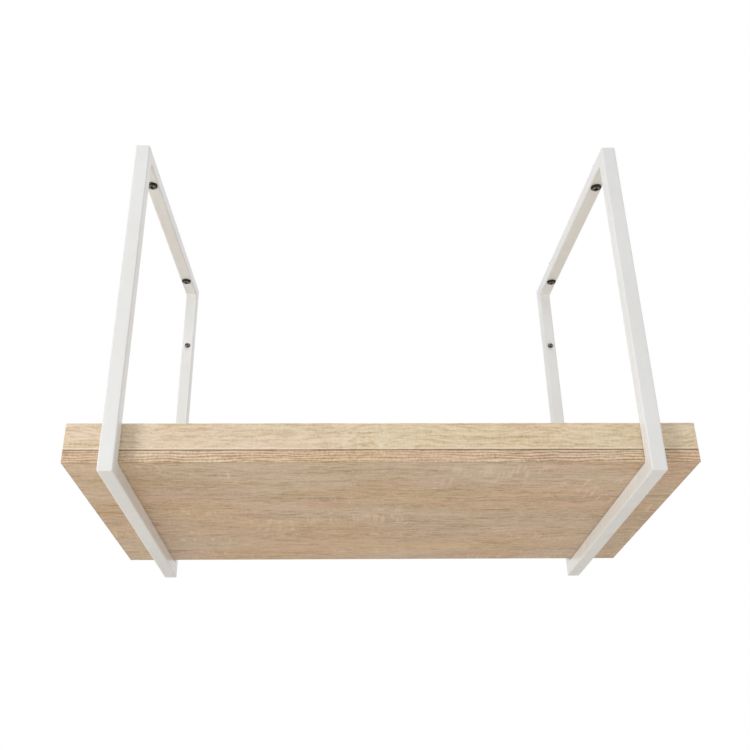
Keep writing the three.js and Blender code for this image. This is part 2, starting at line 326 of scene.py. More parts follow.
def cut_holes(piece, bits):
    """Takes the bits' shapes out of a piece, removes the bits and returns the volume taken, in mm3."""
    before = signed_volume(piece.data)
    for bit in bits:
        hole = piece.modifiers.new("hole", "BOOLEAN")
        hole.operation = "DIFFERENCE"
        hole.solver = "MANIFOLD"
        hole.object = bit
        settle(piece)
        bpy.data.objects.remove(bit)
    return (before - signed_volume(piece.data)) / mm ** 3


def tube_skin(index, x, inset, stops):
    """Loops of a section along a tube, from mitre to mitre: the ends leave room for the welds."""
    start, along, inward, _ = tube_line(index)
    section = square_section(inset)
    middle = [np.hstack([x + section[:, :1], start + along * stop + section[:, 1:] * inward])
              for stop in stops]
    near = slide(in_mitre(index, section, x), mitre(index)[3], weld_width / 2)
    far = slide(in_mitre(index + 1, section, x), mitre(index + 1)[2], -weld_width / 2)
    return [near, *middle, far]


loop_reach, bit_overshoot = 8.0, 2.0
for side, x in frame_places.items():
    for index, tube in enumerate(tube_names):
        length = tube_line(index)[3]
        screw, insets = frame_screws.get(tube, (None, {}))
        places = np.array([inset % length for inset in insets.values()])
        stops = np.sort(np.concatenate([places - loop_reach, places + loop_reach]))
        loops = tube_skin(index, x, 0, stops) + tube_skin(index, x, tube_wall, stops)[::-1]
        faces = grid_faces(len(loops), len(loops[0]), close_rows=True)
        piece = add_piece(f"{side}_{tube}_tube", loops, faces, [f"{side}_{tube}"])
        if screw:
            radius = screw["shank"] / 2 + hole_gap
            low, high = -tube_side - bit_overshoot, bit_overshoot
            bits = [drill_bit("bit", *seat(index, place, x), radius, low, high) for place in places]
            taken = cut_holes(piece, bits) / (math.pi * radius ** 2 * tube_wall)
            print(f"{side} {tube}: {taken:.2f} walls drilled through")
            soften(piece, usual_crease)
        flatten_shading(piece)
print("the first tube holds", round(signed_volume(pieces["left_bottom_rail"].data) * 1e6, 2), "cm3")

# %% [markdown]
# ## The welds
#
# The tubes are welded into closed frames. Outside, a weld is ground flush and leaves a hair line. In the
# fold inside a corner nobody grinds, and the bead keeps its small ripples. A torus in the fold would be
# simpler, but one surface gives both: a strip that bridges the mitre, as narrow as the joint outside and
# wider in the fold, where it also swells. Rows cross the joint, columns run round the tube, and two more
# rows close it inside.

# %% Make the weld beads
def weld_bead(index, x, seed, rows=9, fold_width=1.9, swell=0.45, ripple=1.5):
    """The bead in a corner: a point at s, from -1 to 1, lies on the straight from one tube to the other.

    It is then pushed out of the tube by swell * (1 - s * s), where swell grows from nothing outside to its
    full height in the fold and rises and falls by a third with each ripple along X.
    """
    fractions = np.linspace(0.02, 0.98, 33)
    section, bore = (square_section(inset, 6, fractions) for inset in (0, tube_wall))
    across, inward = section.T
    tangent = np.roll(section, -1, axis=0) - np.roll(section, 1, axis=0)
    normal = np.stack([tangent[:, 1], -tangent[:, 0]], -1)
    normal /= np.linalg.norm(normal, axis=1, keepdims=True)
    fold = np.clip((inward - tube_side + tube_corner) / tube_corner, 0, 1)
    fold = fold * fold * (3 - 2 * fold)
    phase = np.random.default_rng(seed).uniform(0, 2 * np.pi, 3)
    wave = np.cos(2 * np.pi * across / ripple + 0.8 * np.sin(across * 0.9 + phase[0]) + phase[1])
    drift = 0.12 * np.sin(across * 0.55 + phase[2])
    half_width = weld_width / 2 + fold * fold_width * (1 + drift + 0.07 * wave)
    height = fold * swell * (1 + 0.33 * wave) - (1 - fold) * 0.04

    _, step, before, after = mitre(index)
    near = slide(in_mitre(index, section, x), before, -half_width)
    far = slide(in_mitre(index, section, x), after, half_width)
    out = np.hstack([normal[:, :1], normal[:, 1:] * step / np.linalg.norm(step)])
    s = np.linspace(-1, 1, rows)[:, None, None]
    skin = (near + far) / 2 + (far - near) / 2 * s + out * height[:, None] * (1 - s * s)
    inner = [slide(in_mitre(index, bore, x), after, weld_width / 2),
             slide(in_mitre(index, bore, x), before, -weld_width / 2)]
    return np.concatenate([skin, inner])


for side, x in frame_places.items():
    for index, corner in enumerate(corner_names):
        points = weld_bead(index, x, seed=index + 10 * (side == "right"))
        rows, columns, _ = points.shape
        add_piece(f"{side}_{corner}_bead", points, grid_faces(rows, columns, close_rows=True),
                  [f"{side}_weld_{corner}"], crease=50.0)
print("a bead has", rows, "rows of", columns, "points")

# %% [markdown]
# ## Screw heads
#
# A head is a disc with a cross recess pressed into it. Rings and spokes suit the rim but not the cross,
# whose straight sides would come out as stairs. So the disc is a square grid bent into a circle: its middle
# lines stay almost straight, and lines just inside and outside the cross give it crisp walls. The height at
# each point is the dome's less the recess's depth.

# %% Draw a head
def square_to_disc(u, v):
    """Bends the square from -1 to 1 into a disc: x = u sqrt(1 - v v / 2) and y = v sqrt(1 - u u / 2)."""
    return u * np.sqrt(1 - v * v / 2), v * np.sqrt(1 - u * u / 2)


def ramp_between(value, low, high):
    """0 below low, 1 above high and a smooth S between them."""
    t = np.clip((value - low) / (high - low), 0, 1)
    return t * t * (3 - 2 * t)


def cross_depth(u, v, arm, half_width, depth, lip=0.016):
    """The cross recess: along each arm the floor rises from full depth to half, and its walls are steep.

    The depth is the larger of both arms', each depth * (1 - along / arm / 2) inside the arm and 0 outside.
    """
    def one_arm(along, side):
        inside = (1 - ramp_between(side, half_width - lip, half_width + lip))
        inside = inside * (1 - ramp_between(along, arm - lip, arm + lip))
        return depth * (1 - 0.5 * along / arm) * inside

    return np.maximum(one_arm(abs(u), abs(v)), one_arm(abs(v), abs(u)))


def head_lines(arm, half_width, lip=0.016):
    """The places of the grid's lines, some on both sides of the cross's walls and some near the rim."""
    half = [half_width - lip, half_width + lip, (half_width + arm) / 2, arm - lip, arm + lip]
    half += [0.5 * (arm + 1.0), 0.88, 0.96, 1.0]
    half = np.array(sorted(half))
    return np.concatenate([-half[::-1], [0.0], half])


def head_top(screw, domed):
    """The head's top as a square grid of points, and how much painted highlight each of them takes.

    The height is counted from the head's underside if the head is domed, and else from its flat top. A ring
    between the recess and the rim is marked for a painted highlight, where the dome catches the light.
    """
    radius = screw["head"] / 2
    arm, half_width = screw["slot"] / 2 / radius, screw["width"] / 2 / radius
    lines = head_lines(arm, half_width)
    u, v = np.meshgrid(lines, lines, indexing="ij")
    x, y = square_to_disc(u, v)
    height = np.zeros_like(x)
    if domed:
        bulge = np.sqrt(np.clip(1 - x * x - y * y, 0, 1))
        height = screw["rim"] + (screw["height"] - screw["rim"]) * bulge
    dip = cross_depth(u, v, arm, half_width, screw["depth"])
    out = np.hypot(x, y)
    # A pale ring between the recess and the rim, kept out of the recess: a painted highlight where the dome
    # catches the light.
    glinting = ramp_between(out, 0.2, 0.4) * (1 - ramp_between(out, 0.66, 0.84)) * (dip < 0.1 * screw["depth"])
    return np.stack([radius * x, radius * y, height - dip], -1), glinting


_, head_glint = head_top(ceiling_screw, domed=True)
print("a head's top has", head_glint.size, "points,", int((head_glint > 0.5).sum()), "of them worn")

# %% [markdown]
# ## Shanks and threads
#
# Below the head the screw is a stack of rings that starts from the edge of the head's grid, so the two meet
# point for point. A thread is a ridge that climbs as it turns: the height plus the angle's share of the
# pitch says how far up the ridge a point lies. Near the tip the ridge and the core taper off. A profile
# could be carried along a helix instead, but a height on rings needs no end caps.

# %% Make the screws
def grid_edge(n):
    """The point numbers round the edge of an n by n grid, in order."""
    grid = np.arange(n * n).reshape(n, n)
    sides = [grid[-1, :-1], grid[::-1, -1][:-1], grid[0, ::-1][:-1], grid[:, 0][:-1]]
    return np.concatenate(sides)


def threaded_shank(screw, angle, top, plain, steps_per_turn, wood):
    """Rings from the height top down to the tip, whose radius is the core's plus the thread's ridge.

    A ridge is 1 - |p| / w where p, from -0.5 to 0.5, is how far a point lies from the crest in pitches. It
    fades in below the plain length and out at the tip, where a wood screw's core shrinks to a point.
    """
    radius, pitch = screw["shank"] / 2, screw["pitch"]
    end = -screw["length"] + 0.05
    z = np.arange(top, end, -pitch / steps_per_turn)[:, None]
    taper = np.clip((z - end) / screw["tip"], 0, 1)
    depth = (0.3 if wood else 0.12) * radius
    ridge_width = 0.24 if wood else 0.5
    place = z / pitch + angle[None, :] / (2 * np.pi)
    ridge = np.clip(1 - abs(place - np.round(place)) / ridge_width, 0, 1)
    started = ramp_between(-z, plain, plain + pitch)
    core = radius - depth * started
    if wood:
        core = core * (0.12 + 0.88 * taper ** 0.8)
        ridge = ridge * ramp_between(taper, 0.0, 0.35) * (0.35 + 0.65 * taper)
    else:
        core = core - screw["tip"] * 0.6 * (1 - taper)
        ridge = ridge * taper
    ring = core + depth * ridge * started
    return polar(ring, angle, z)


def add_screw(node, screw, foot, axes, domed, plain, steps_per_turn=6):
    """A whole screw: the head's grid, the rings under it, and a point that closes the tip."""
    top, top_glint = head_top(screw, domed)
    n = len(top)
    edge = grid_edge(n)
    rim = top.reshape(-1, 3)[edge]
    angle = np.arctan2(rim[:, 1], rim[:, 0])
    radius, shank = screw["head"] / 2, screw["shank"] / 2
    if domed:
        outline = [(radius, 0.35), (radius - 0.1, 0.1), (radius - 0.35, 0.0)]
        outline += [(shank + 0.3, 0.0), (shank, -0.3)]
    else:
        cone = radius - shank
        outline = [(radius, -0.25), (shank + 0.1, -cone - 0.25), (shank, -cone - 0.5)]
    under = [polar(r, angle, z) for r, z in outline]
    shank_rings = threaded_shank(screw, angle, outline[-1][1] - 0.2, plain, steps_per_turn, wood=domed)
    rings = np.concatenate([under, shank_rings])
    rows, columns, _ = rings.shape
    points = np.concatenate([top.reshape(-1, 3), rings.reshape(-1, 3), [[0, 0, -screw["length"]]]])
    first = n * n
    skirt = np.concatenate([edge[None, :], first + np.arange(rows * columns).reshape(rows, columns)])
    faces = grid_faces(n, n, close_columns=False)[:, ::-1].tolist()
    faces += skirt.reshape(-1)[grid_faces(rows + 1, columns)][:, ::-1].tolist()
    last, tip = skirt[-1], len(points) - 1
    faces += np.stack([last, np.roll(last, -1), np.full(columns, tip)], -1)[:, ::-1].tolist()
    # Only the head's top carries the painted highlight.
    wear = np.zeros(len(points))
    wear[:first] = top_glint.reshape(-1)
    add_piece(f"{node}_threaded", foot + points @ axes, faces, [node], crease=28.0, wear=wear)


for side, x in frame_places.items():
    for tube, (screw, insets) in frame_screws.items():
        for screw_name, inset in insets.items():
            foot, axes = seat(tube_names.index(tube), inset, x)
            add_screw(f"{side}_{screw_name}", screw, foot, axes, True, frame_plain)
    for row, y in shelf_screw_rows.items():
        foot = np.array([x, y, -head_sink])
        node = f"{side}_shelf_screw_{row}"
        add_screw(node, shelf_screw, foot, np.eye(3), False, shelf_plain)
print("a ceiling screw has", len(pieces["left_ceiling_screw_front"].data.polygons), "faces")

# %% [markdown]
# ## Dowels
#
# The boards are pinned by beech dowels, hidden once the shelf is glued. A plain cylinder would do, but
# looks like a cut rod to whoever opens the model. So each ring's radius dips in a row of narrow grooves,
# and the ends are chamfered to find their holes.

# %% Make the dowels
def fluted_dowel(low, high, radius=4.0, flutes=18, groove=0.22, chamfer=1.0, columns=144):
    """Rings whose radius is the dowel's less groove times a narrow dip, repeated flutes times round."""
    angle = np.linspace(0, 2 * np.pi, columns, endpoint=False)
    dip = np.clip(np.cos(flutes * angle), 0, 1) ** 3
    z = np.array([low, low + chamfer, low + chamfer + 0.4, high - chamfer - 0.4, high - chamfer, high])
    full = np.array([radius - chamfer, radius, radius, radius, radius, radius - chamfer])
    cut = np.array([0.0, 0.6, 1.0, 1.0, 0.6, 0.0])
    ring = full[:, None] - groove * cut[:, None] * dip
    return polar(ring, angle, z[:, None])


dowels = [f"board_dowel_{number}" for number in range(1, 7)]
for name in dowels:
    low, high = (np.array(corner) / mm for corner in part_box(name))
    points = fluted_dowel(low[2], high[2]) + [(low[0] + high[0]) / 2, (low[1] + high[1]) / 2, 0]
    rows, columns, _ = points.shape
    add_piece(f"{name}_fluted", points, capped_grid(rows, columns), [name])
print("dowels reach from", round(low[2], 1), "to", round(high[2], 1), "mm")

# %% [markdown]
# ## Edge banding
#
# The boards' edges are closed with a strip of the same decor, a millimetre thick, whose outer corners are
# scraped round. Where the boards meet, two such corners leave the fine dark groove along the shelf's front,
# which a sharp box would lose. The profile is a rectangle with two round corners, and at both ends it sinks
# back by the same quarter circle.

# %% Make the edge banding
def band_profile(bottom, top, depth, rounding, steps=6):
    """A loop of depth and height: a flat back at 0, and a front with two quarter-round corners at depth."""
    turn = np.linspace(0, np.pi / 2, steps + 1)
    out, up = depth - rounding + rounding * np.sin(turn), bottom + rounding - rounding * np.cos(turn)
    lower = np.stack([out, up], -1)
    upper = np.stack([lower[::-1, 0], top + bottom - lower[::-1, 1]], -1)
    hold = rounding * 0.6
    flat = np.array([[depth, bottom + rounding + hold], [depth, top - rounding - hold]])
    back = np.array([[0, top], [0, bottom]])
    return np.concatenate([lower, flat, upper, back])


def banding(length, bottom, top, rounding=0.7, steps=6):
    """The profile carried along its length, its front drawn back at both ends by a quarter circle.

    It comes out as three arrays: depth, along and height.
    """
    turn = np.linspace(0, np.pi / 2, steps + 1)
    near_end = np.concatenate([rounding * (1 - np.cos(turn)), [rounding * 1.6]])
    sink = np.concatenate([rounding * (1 - np.sin(turn)), [0.0]])
    along = np.concatenate([near_end, (length - near_end)[::-1]]) - length / 2
    sink = np.concatenate([sink, sink[::-1]])
    profile = band_profile(bottom, top, band_thickness, rounding)
    depth = np.clip(profile[:, 0] - sink[:, None], 0, None)
    return np.broadcast_arrays(depth, along[:, None], profile[:, 1])


for board, (bottom, top) in board_heights.items():
    core_depth = shelf_depth - 2 * band_thickness
    middle_y = (shelf_front + shelf_rear) / 2
    layouts = {
        "front": (shelf_width, lambda d, a, z: (a, shelf_front + band_thickness - d, z)),
        "rear": (shelf_width, lambda d, a, z: (a, shelf_rear - band_thickness + d, z)),
        "left": (core_depth, lambda d, a, z: (band_thickness - shelf_width / 2 - d, middle_y + a, z)),
        "right": (core_depth, lambda d, a, z: (shelf_width / 2 - band_thickness + d, middle_y + a, z)),
    }
    for edge, (length, place) in layouts.items():
        points = np.stack(place(*banding(length, bottom, top)), -1)
        rows, columns, _ = points.shape
        name = f"{board}_band_{edge}"
        add_piece(f"{name}_rounded", points, capped_grid(rows, columns), [name], crease=40.0)
print("the front band is", shelf_width, "mm long, in", rows, "rows of", columns, "points")

# %% [markdown]
# ## Shader sums written as Python
#
# A material is a sheet of nodes with threads between them. By hand, each node of a sum takes three lines.
# The class below wraps an output socket, so that `1 - mask * 0.3` adds the Math nodes by itself. Every
# other node comes from one method. It takes the settings first, because some of them change which sockets
# the node has, and then the values or threads of its sockets.

# %% Helpers that make a material
class Thread:
    """An output socket. Python's operators on it add Math nodes to its sheet."""

    def __init__(self, sheet, socket):
        self.sheet = sheet
        self.socket = socket

    def __add__(self, other):
        return self.sheet.sum("ADD", self, other)

    def __sub__(self, other):
        return self.sheet.sum("SUBTRACT", self, other)

    def __rsub__(self, other):
        return self.sheet.sum("SUBTRACT", other, self)

    def __mul__(self, other):
        return self.sheet.sum("MULTIPLY", self, other)

    def __truediv__(self, other):
        return self.sheet.sum("DIVIDE", self, other)

    __radd__ = __add__
    __rmul__ = __mul__


class Sheet:
    """A material's nodes, of which spot is the place on the object."""

    def __init__(self, name):
        self.material = bpy.data.materials.new(name)
        self.material.use_nodes = True
        self.tree = self.material.node_tree
        self.tree.nodes.clear()
        self.spot = self.node("TexCoord", {}, {}, output="Object")

    def node(self, kind, settings, sockets, output=0):
        """Adds a node of a kind, with its settings and then its sockets, and returns one of its outputs."""
        node = self.tree.nodes.new("ShaderNode" + kind)
        count = len(self.tree.nodes)
        node.location = (220 * (count // 6), -260 * (count % 6))
        for name, value in settings.items():
            if name == "stops":
                ramp = node.color_ramp.elements
                for place, colour in value[1:-1]:
                    ramp.new(place).color = colour
                ramp[0].position, ramp[0].color = value[0]
                ramp[-1].position, ramp[-1].color = value[-1]
            else:
                setattr(node, name, value)
        for name, value in sockets.items():
            live = [socket for socket in node.inputs if socket.enabled]
            socket = live[name] if isinstance(name, int) else next(s for s in live if s.name == name)
            if isinstance(value, Thread):
                self.tree.links.new(value.socket, socket)
            else:
                socket.default_value = value
        live = [socket for socket in node.outputs if socket.enabled]
        found = live[output] if isinstance(output, int) else next(s for s in live if s.name == output)
        return Thread(self, found)

    def sum(self, operation, a, b):
        return self.node("Math", {"operation": operation}, {0: a, 1: b})

    def ease(self, value, low, high, start=0.0, end=1.0):
        """start below low, end above high, and a smooth S between them."""
        sockets = {"Value": value, "From Min": low, "From Max": high, "To Min": start, "To Max": end}
        return self.node("MapRange", {"interpolation_type": "SMOOTHSTEP"}, sockets)

    def stretch(self, place, scale, turn=(0, 0, 0), shift=(0, 0, 0)):
        """The place shifted, turned and scaled: a large scale along an axis makes a pattern fine there."""
        sockets = {"Vector": place, "Scale": scale, "Rotation": turn, "Location": shift}
        return self.node("Mapping", {}, sockets)

    def noise(self, place, scale=1.0, detail=2.0, roughness=0.5):
        sockets = {"Vector": place, "Scale": scale, "Detail": detail, "Roughness": roughness}
        return self.node("TexNoise", {}, sockets)

    def grain(self, place, scale, detail=2.0, roughness=0.5, **layout):
        """Noise over a stretched place."""
        return self.noise(self.stretch(place, scale, **layout), 1.0, detail, roughness)

    def blend(self, factor, a, b, mode="MIX"):
        settings = {"data_type": "RGBA", "blend_type": mode}
        return self.node("Mix", settings, {"Factor": factor, "A": a, "B": b})

    def tint(self, tone, factor, a, b):
        """The tone multiplied by a colour that goes from a to b."""
        return self.blend(1.0, tone, self.blend(factor, a, b), "MULTIPLY")

    def bump(self, height, strength, distance):
        return self.node("Bump", {}, {"Height": height, "Strength": strength, "Distance": distance})

    def finish(self, sockets):
        """Closes the sheet with a Principled shader and the output, and returns the material."""
        surface = self.node("BsdfPrincipled", {}, sockets)
        self.node_output(surface)
        return self.material

    def node_output(self, surface):
        output = self.tree.nodes.new("ShaderNodeOutputMaterial")
        self.tree.links.new(surface.socket, output.inputs["Surface"])


def colour(red, green, blue):
    """A colour as it is seen on screen, 0 to 255, turned into the amounts of light that shaders count in.

    Each share c becomes ((c + 0.055) / 1.055) ** 2.4, or c / 12.92 where it is very dark.
    """
    share = np.array([red, green, blue]) / 255
    light = np.where(share > 0.04045, ((share + 0.055) / 1.055) ** 2.4, share / 12.92)
    return (*light.tolist(), 1.0)


print("a mid grey of 128 sends back", round(colour(128, 128, 128)[0], 3), "of the light")

# %% [markdown]
# ## Pale oak decor
#
# The boards are faced with a printed oak: a pale, straight-grained picture of sawn wood under a satin film.
# A wave texture would give rings too even for it. Here noise that is stretched along the board gives
# strokes of two widths, and a finer noise breaks them up into flecks. Their place is swayed by a slow noise
# first, so they lean and part like real fibres. Over them lie growth lines, a saw-tooth of the distance
# across the grain that noise bends and breaks, pale saw marks, pores, and two slow drifts of the hue: from
# greyish to warm, and from a little green to a little rose.
#
# A banding has two more things of its own: the groove where the boards meet, darkened with painted shade,
# with a painted highlight on the rounded edge over it, and the brown line of its cut edge in the shelf's
# large faces.

# %% The oak decor
groove_shade_drop = 0.0002


def oak(name, shift, tones, across, turn=0.0, sway=0.012, fine=1.8, coarse=0.6, broad=0.8, flecks=0.5,
        gap=0.009, bend=0.03, flutter=1.6, lines=0.2, grown=(0.5, 0.64), marks=0.4, warmth=(253, 245, 233),
        cut_edge=None):
    """A sheet of oak decor whose grain runs along X, or along Y after a quarter turn.

    tones are the pale, middle and brown colours, and warmth tints them where the decor is warmer. across is
    the axis that the growth lines are counted on, gap the distance between them, bend how far they wander,
    flutter how uneven the gaps are, and grown between which values of a noise they come up. sway is how far
    the fibres lean, and cut_edge the height of the banding's bare edge. The painted shade of the groove lies
    a fixed small drop under the joint. Lengths are in metres, and the other values are the shares of each
    layer.
    """
    sheet = Sheet(name)
    spot, ease, grain = sheet.spot, sheet.ease, sheet.grain
    lay = sheet.stretch(spot, (1, 1, 1), (0, 0, turn), shift)
    lean = grain(lay, (8, 18, 18)) - 0.5
    reach = {"operation": "MULTIPLY_ADD"}
    swayed = sheet.node("VectorMath", reach, {0: lean, 1: (0, 2 * sway, 2 * sway), 2: lay})

    hair = grain(swayed, (60, 560, 560), detail=3.0, roughness=0.65)
    stroke = grain(swayed, (11, 210, 210))
    fleck = grain(lay, (430, 280, 280), detail=1.0)
    cloud = grain(swayed, (7, 34, 34), detail=3.0, roughness=0.55)
    pores = ease(grain(swayed, (130, 2600, 2600), detail=1.0), 0.6, 0.7)

    wander = grain(lay, (2.4, 9, 9), shift=(1.0, 2.0, 0)) - 0.5
    uneven = grain(lay, (18, 70, 70)) - 0.5
    distance = sheet.node("SeparateXYZ", {}, {"Vector": lay}, output=across) + wander * bend
    distance = distance + uneven * gap * flutter
    tooth = sheet.node("Math", {"operation": "PINGPONG"}, {0: distance / gap, 1: 0.5})
    present = grain(swayed, (5, 60, 60), shift=(4.0, 0, 0))
    line = ease(tooth, 0.18, 0.42) * ease(present, *grown)

    patch = ease(grain(lay, (9, 26, 26), shift=(0, 7.0, 0)), 0.54, 0.64)
    mark = grain(lay, (260, 30, 30), detail=1.5, turn=(0, 0, 0.15))
    mark = ease(mark, 0.52, 0.66) * patch

    dark = 0.42 + (hair - 0.5) * fine + (stroke - 0.5) * coarse + (cloud - 0.5) * broad
    dark = dark + (fleck - 0.5) * flecks + line * lines + pores * 0.12 - mark * marks
    pale, middle, brown = tones
    tone = sheet.node("ValToRGB", {"stops": [(0.0, pale), (0.45, middle), (1.0, brown)]}, {"Fac": dark})
    drift = grain(lay, (5, 13, 13), detail=3.0, shift=(3.0, 0, 0))
    tone = sheet.tint(tone, ease(drift, 0.36, 0.64), colour(249, 250, 251), colour(*warmth))
    blush = grain(lay, (10, 34, 34), detail=3.0, shift=(0, 0, 5.0))
    tone = sheet.tint(tone, ease(blush, 0.36, 0.64), colour(253, 255, 251), colour(255, 252, 255))

    if cut_edge is not None:
        height = sheet.node("SeparateXYZ", {}, {"Vector": spot}, output="Z")
        joint = board_heights["upper"][0] * mm
        off_joint = sheet.node("Math", {"operation": "ABSOLUTE"}, {0: height - (joint - groove_shade_drop)})
        off_edge = sheet.node("Math", {"operation": "ABSOLUTE"}, {0: height - cut_edge})
        # A painted highlight along the upper band's rounded lower edge, just over the joint.
        rim = ease(height, joint + 0.0008, joint + 0.0012)
        rim = rim * ease(height, joint + 0.0022, joint + 0.0018)
        tone = sheet.blend(rim * 0.7, tone, pale)
        # Painted shade: the colour darkens in the groove where the boards meet.
        tone = sheet.blend(ease(off_joint, 0.0009, 0.0004) * 0.6, tone, colour(92, 66, 46))
        tone = sheet.blend(ease(off_edge, 0.0003, 0.0001) * 0.45, tone, colour(120, 92, 68))

    return sheet.finish({
        "Base Color": tone,
        "Roughness": 0.5 + (hair - 0.5) * 0.2 + pores * 0.12,
        "Normal": sheet.bump(hair * 0.4 - pores - line * 0.3 + mark * 0.3, 0.2, 0.0003),
    })


def match(piece, material):
    """Gives a piece or a CAD node one material in every slot it has."""
    piece.data.materials.clear()
    piece.data.materials.append(material)


upper_tones = (colour(246, 229, 206), colour(231, 211, 182), colour(197, 165, 128))
lower_tones = (colour(244, 224, 202), colour(223, 199, 170), colour(177, 143, 109))
face_tones = (colour(231, 210, 189), colour(215, 191, 165), colour(173, 139, 105))
upper_look = dict(tones=upper_tones, across="Z", sway=0.015, coarse=1.0, broad=0.12, flecks=0.55,
                  gap=0.011, lines=0.08, marks=0.12, warmth=(252, 250, 246),
                  cut_edge=board_heights["upper"][1] * mm)
lower_look = dict(tones=lower_tones, across="Z", sway=0.006, fine=1.4, coarse=0.2, broad=0.7, flecks=0.75,
                  gap=0.0029, bend=0.012, flutter=3.2, lines=0.47, grown=(0.15, 0.5), marks=0.05,
                  warmth=(252, 247, 242), cut_edge=board_heights["lower"][0] * mm)
end_turn = math.pi / 2
oaks = {
    "upper_board": oak("oak_upper_board", (0.3, 0.05, 0), upper_tones, "Y", broad=0.5, flecks=0.35),
    "lower_board": oak("oak_lower_board", (2.67, 8.34, 7.06), face_tones, "Y"),
    "upper_long": oak("oak_upper_banding", (3.42, 0, 6.56), **upper_look),
    "lower_long": oak("oak_lower_banding", (8.4, 0, 0.07), **lower_look),
    "upper_end": oak("oak_upper_end_banding", (2.2, 0, 0.05), turn=end_turn, **upper_look),
    "lower_end": oak("oak_lower_end_banding", (9.7, 0, 0.01), turn=end_turn, **lower_look),
}
for board in board_heights:
    match(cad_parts[f"{board}_board"], oaks[f"{board}_board"])
    for edge in ("front", "rear", "left", "right"):
        kind = "long" if edge in ("front", "rear") else "end"
        match(pieces[f"{board}_band_{edge}"], oaks[f"{board}_{kind}"])
print(len(oaks), "oak sheets, the first of", len(oaks["upper_board"].node_tree.nodes), "nodes")

# %% [markdown]
# ## White powder coat
#
# Powder is baked on and flows into a film with a fine orange-peel skin, which breaks up reflections more
# than it shows as bumps. A single white would look like paper, so a slow noise moves the tone and gloss a
# little.

# %% The powder coat
coat_tones = ((239, 240, 241), (235, 236, 236))


def powder_coat():
    sheet = Sheet("white_powder_coat")
    spot = sheet.spot
    peel = sheet.noise(spot, scale=650.0, detail=1.5, roughness=0.4)
    cloud = sheet.noise(spot, scale=14.0, detail=3.0)
    dust = sheet.noise(spot, scale=2600.0, detail=1.0)
    white = sheet.blend(sheet.ease(cloud, 0.3, 0.7), colour(*coat_tones[0]), colour(*coat_tones[1]))
    return sheet.finish({
        "Base Color": white,
        "Roughness": 0.28 + (cloud - 0.5) * 0.12 + (dust - 0.5) * 0.06,
        "Normal": sheet.bump(peel, 0.16, 0.00015),
    })


coat = powder_coat()
for side in frame_places:
    for tube in tube_names:
        match(pieces[f"{side}_{tube}"], coat)
    for corner in corner_names:
        match(pieces[f"{side}_weld_{corner}"], coat)
print("the coat is", [np.round(colour(*tone)[:3], 3).tolist() for tone in coat_tones])

# %% [markdown]
# ## Screws, nuts and dowels
#
# The visible screws are blackened steel: almost black, but a metal, so its colour tints its reflections and
# its scratches glint. Each head also carries a pale ring between its recess and rim, a painted highlight of
# its dome. Black paint would be simpler, but stays dull. The shelf's screws and the nuts are zinc plated, a
# pale metal with soft clouds, and the dowels are beech, known by its small dark flecks.

# %% The metals and the beech
def blackened_steel():
    sheet = Sheet("black_steel")
    spot = sheet.spot
    wear = sheet.node("Attribute", {"attribute_name": "wear"}, {}, output="Fac")
    cloud = sheet.noise(spot, scale=260.0, detail=3.0, roughness=0.6)
    scratch = sheet.grain(spot, (900, 5200, 2400), detail=1.0, turn=(0.3, 0.5, 0.9))
    # Painted highlight: the marked ring on each head turns pale grey, broken up by clouds.
    glint_patch = wear * sheet.ease(cloud, 0.3, 0.6, 0.55, 1.0)
    shade = sheet.blend(sheet.ease(cloud, 0.35, 0.7), colour(34, 33, 32), colour(52, 50, 48))
    shade = sheet.blend(glint_patch, shade, colour(148, 145, 140))
    shade = sheet.blend(sheet.ease(scratch, 0.66, 0.78) * 0.6, shade, colour(170, 166, 160))
    return sheet.finish({
        "Base Color": shade,
        "Metallic": 0.85,
        "Roughness": 0.36 + (cloud - 0.5) * 0.2 - wear * 0.1,
        "Normal": sheet.bump(cloud, 0.12, 0.0001),
    })


def zinc_plate():
    sheet = Sheet("zinc_steel")
    spot = sheet.spot
    cloud = sheet.noise(spot, scale=180.0, detail=4.0, roughness=0.6)
    fine = sheet.noise(spot, scale=2400.0)
    shade = sheet.blend(sheet.ease(cloud, 0.35, 0.65), colour(186, 189, 193), colour(203, 202, 196))
    return sheet.finish({
        "Base Color": shade,
        "Metallic": 0.95,
        "Roughness": 0.3 + (cloud - 0.5) * 0.25 + (fine - 0.5) * 0.1,
        "Normal": sheet.bump(fine, 0.1, 0.00005),
    })


def beech():
    sheet = Sheet("beech")
    spot = sheet.spot
    grain = sheet.grain(spot, (900, 900, 40), detail=3.0)
    fleck = sheet.ease(sheet.grain(spot, (1500, 1500, 260), detail=1.0), 0.62, 0.7)
    shade = sheet.blend(grain, colour(226, 200, 160), colour(208, 176, 134))
    shade = sheet.blend(fleck * 0.5, shade, colour(164, 122, 84))
    return sheet.finish({
        "Base Color": shade,
        "Roughness": 0.62 + (grain - 0.5) * 0.2,
        "Normal": sheet.bump(grain - fleck, 0.2, 0.0001),
    })


black, zinc, wood = blackened_steel(), zinc_plate(), beech()
for side in frame_places:
    for _, insets in frame_screws.values():
        for name in insets:
            match(pieces[f"{side}_{name}"], black)
    for row in shelf_screw_rows:
        match(pieces[f"{side}_shelf_screw_{row}"], zinc)
        match(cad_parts[f"{side}_rivet_nut_{row}"], zinc)
for name in dowels:
    match(pieces[name], wood)
print(len(bpy.data.materials), "materials")

# %% [markdown]
# ## Light
#
# The picture is a studio cut-out: white all round, and bright from the front and left. A white world alone
# would be too even. So the camera and mirror-like rays see it full white, but it casts less light, which
# leaves room for soft lamps. The main one stands low on the left in front and gives the tubes their lighter
# and darker sides. A weak one low on the right lifts what the first can't reach, and a wide one above
# lights the shelf and floor.

